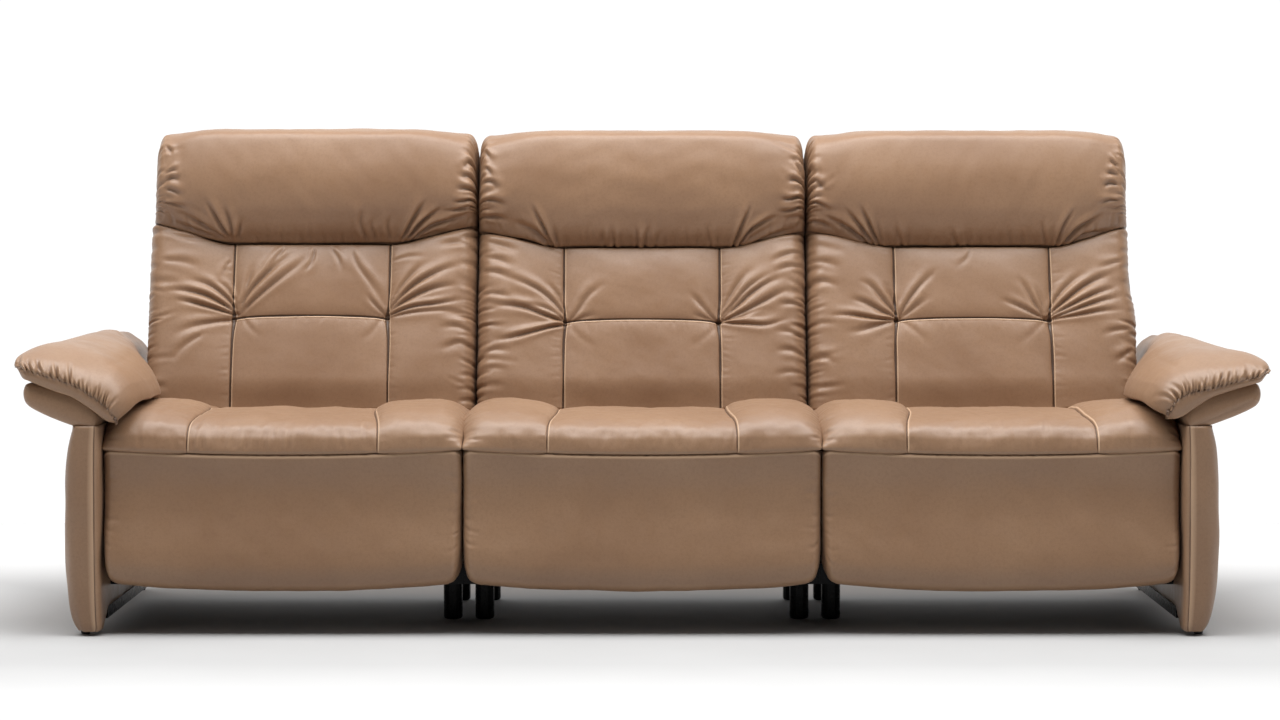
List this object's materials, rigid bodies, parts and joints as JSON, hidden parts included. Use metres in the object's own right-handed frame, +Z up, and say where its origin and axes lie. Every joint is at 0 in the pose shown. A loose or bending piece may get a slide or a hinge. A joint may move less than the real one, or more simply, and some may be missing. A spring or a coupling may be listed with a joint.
{
  "type": "reclining sofa",
  "caption": "Tan leather reclining sofa with tufted backs, rolled headrests, swing-up leg rests and draped pillow arms.",
  "frame": {"origin": "middle of the footprint of the whole sofa, at floor level", "axes": "+Z up, +X to the right as seen from the front, the seats face -Y"},
  "size_m": [2.4442, 0.8306, 0.9918],
  "materials": {
    "tan_leather": "satin",
    "black_lacquer": "gloss",
    "black_plastic": "satin",
    "wood_panel": "matte",
    "zinc_steel": "satin"
  },
  "bodies": {
    "chassis": {"left_base_frame": "black_lacquer", "left_seat_deck": "wood_panel", "left_seat_cushion": "tan_leather", "left_rear_valance": "tan_leather", "left_motor": "black_plastic", "middle_base_frame": "black_lacquer", "middle_seat_deck": "wood_panel", "middle_seat_cushion": "tan_leather", "middle_rear_valance": "tan_leather", "middle_motor": "black_plastic", "right_base_frame": "black_lacquer", "right_seat_deck": "wood_panel", "right_seat_cushion": "tan_leather", "right_rear_valance": "tan_leather", "right_motor": "black_plastic", "front_leg_1": "black_lacquer", "front_leg_2": "black_lacquer", "front_leg_3": "black_lacquer", "front_leg_4": "black_lacquer", "rear_leg_1": "black_lacquer", "rear_leg_2": "black_lacquer", "rear_leg_3": "black_lacquer", "rear_leg_4": "black_lacquer", "left_arm_panel": "tan_leather", "left_arm_wing": "tan_leather", "left_arm_pad": "tan_leather", "left_arm_rail": "black_lacquer", "left_front_glide": "black_plastic", "left_rear_glide": "black_plastic", "right_arm_panel": "tan_leather", "right_arm_wing": "tan_leather", "right_arm_pad": "tan_leather", "right_arm_rail": "black_lacquer", "right_front_glide": "black_plastic", "right_rear_glide": "black_plastic"},
    "left_legrest": {"left_legrest_pad": "tan_leather", "left_legrest_board": "wood_panel", "left_legrest_linkage": "zinc_steel"},
    "left_drive": {"left_actuator_rod": "zinc_steel"},
    "left_back": {"left_back_frame": "wood_panel", "left_back_cushion": "tan_leather", "left_headrest_cushion": "tan_leather", "left_rear_pad": "tan_leather"},
    "middle_legrest": {"middle_legrest_pad": "tan_leather", "middle_legrest_board": "wood_panel", "middle_legrest_linkage": "zinc_steel"},
    "middle_drive": {"middle_actuator_rod": "zinc_steel"},
    "middle_back": {"middle_back_frame": "wood_panel", "middle_back_cushion": "tan_leather", "middle_headrest_cushion": "tan_leather", "middle_rear_pad": "tan_leather"},
    "right_legrest": {"right_legrest_pad": "tan_leather", "right_legrest_board": "wood_panel", "right_legrest_linkage": "zinc_steel"},
    "right_drive": {"right_actuator_rod": "zinc_steel"},
    "right_back": {"right_back_frame": "wood_panel", "right_back_cushion": "tan_leather", "right_headrest_cushion": "tan_leather", "right_rear_pad": "tan_leather"}
  },
  "joints": [
    {"name": "left_legrest_swing", "type": "hinge", "parent": "chassis", "child": "left_legrest", "pos_m": [-0.7, -0.34125, 0.33], "axis": [-1, 0, 0], "range_deg": [0, 80]},
    {"name": "left_drive_slide", "type": "slide", "parent": "chassis", "child": "left_drive", "axis": [0, -1, 0], "range_m": [0, 0.10027]},
    {"name": "left_back_recline", "type": "hinge", "parent": "chassis", "child": "left_back", "pos_m": [-0.7, 0.16675, 0.33], "axis": [-1, 0, 0], "range_deg": [0, 20]},
    {"name": "middle_legrest_swing", "type": "hinge", "parent": "chassis", "child": "middle_legrest", "pos_m": [0, -0.34125, 0.33], "axis": [-1, 0, 0], "range_deg": [0, 80]},
    {"name": "middle_drive_slide", "type": "slide", "parent": "chassis", "child": "middle_drive", "axis": [0, -1, 0], "range_m": [0, 0.10027]},
    {"name": "middle_back_recline", "type": "hinge", "parent": "chassis", "child": "middle_back", "pos_m": [0, 0.16675, 0.33], "axis": [-1, 0, 0], "range_deg": [0, 20]},
    {"name": "right_legrest_swing", "type": "hinge", "parent": "chassis", "child": "right_legrest", "pos_m": [0.7, -0.34125, 0.33], "axis": [-1, 0, 0], "range_deg": [0, 80]},
    {"name": "right_drive_slide", "type": "slide", "parent": "chassis", "child": "right_drive", "axis": [0, -1, 0], "range_m": [0, 0.10027]},
    {"name": "right_back_recline", "type": "hinge", "parent": "chassis", "child": "right_back", "pos_m": [0.7, 0.16675, 0.33], "axis": [-1, 0, 0], "range_deg": [0, 20]}
  ],
  "couplings": [
    {"joint": "left_drive_slide", "follows": "left_legrest_swing", "m_per_rad": 0.071817},
    {"joint": "middle_drive_slide", "follows": "middle_legrest_swing", "m_per_rad": 0.071817},
    {"joint": "right_drive_slide", "follows": "right_legrest_swing", "m_per_rad": 0.071817}
  ]
}
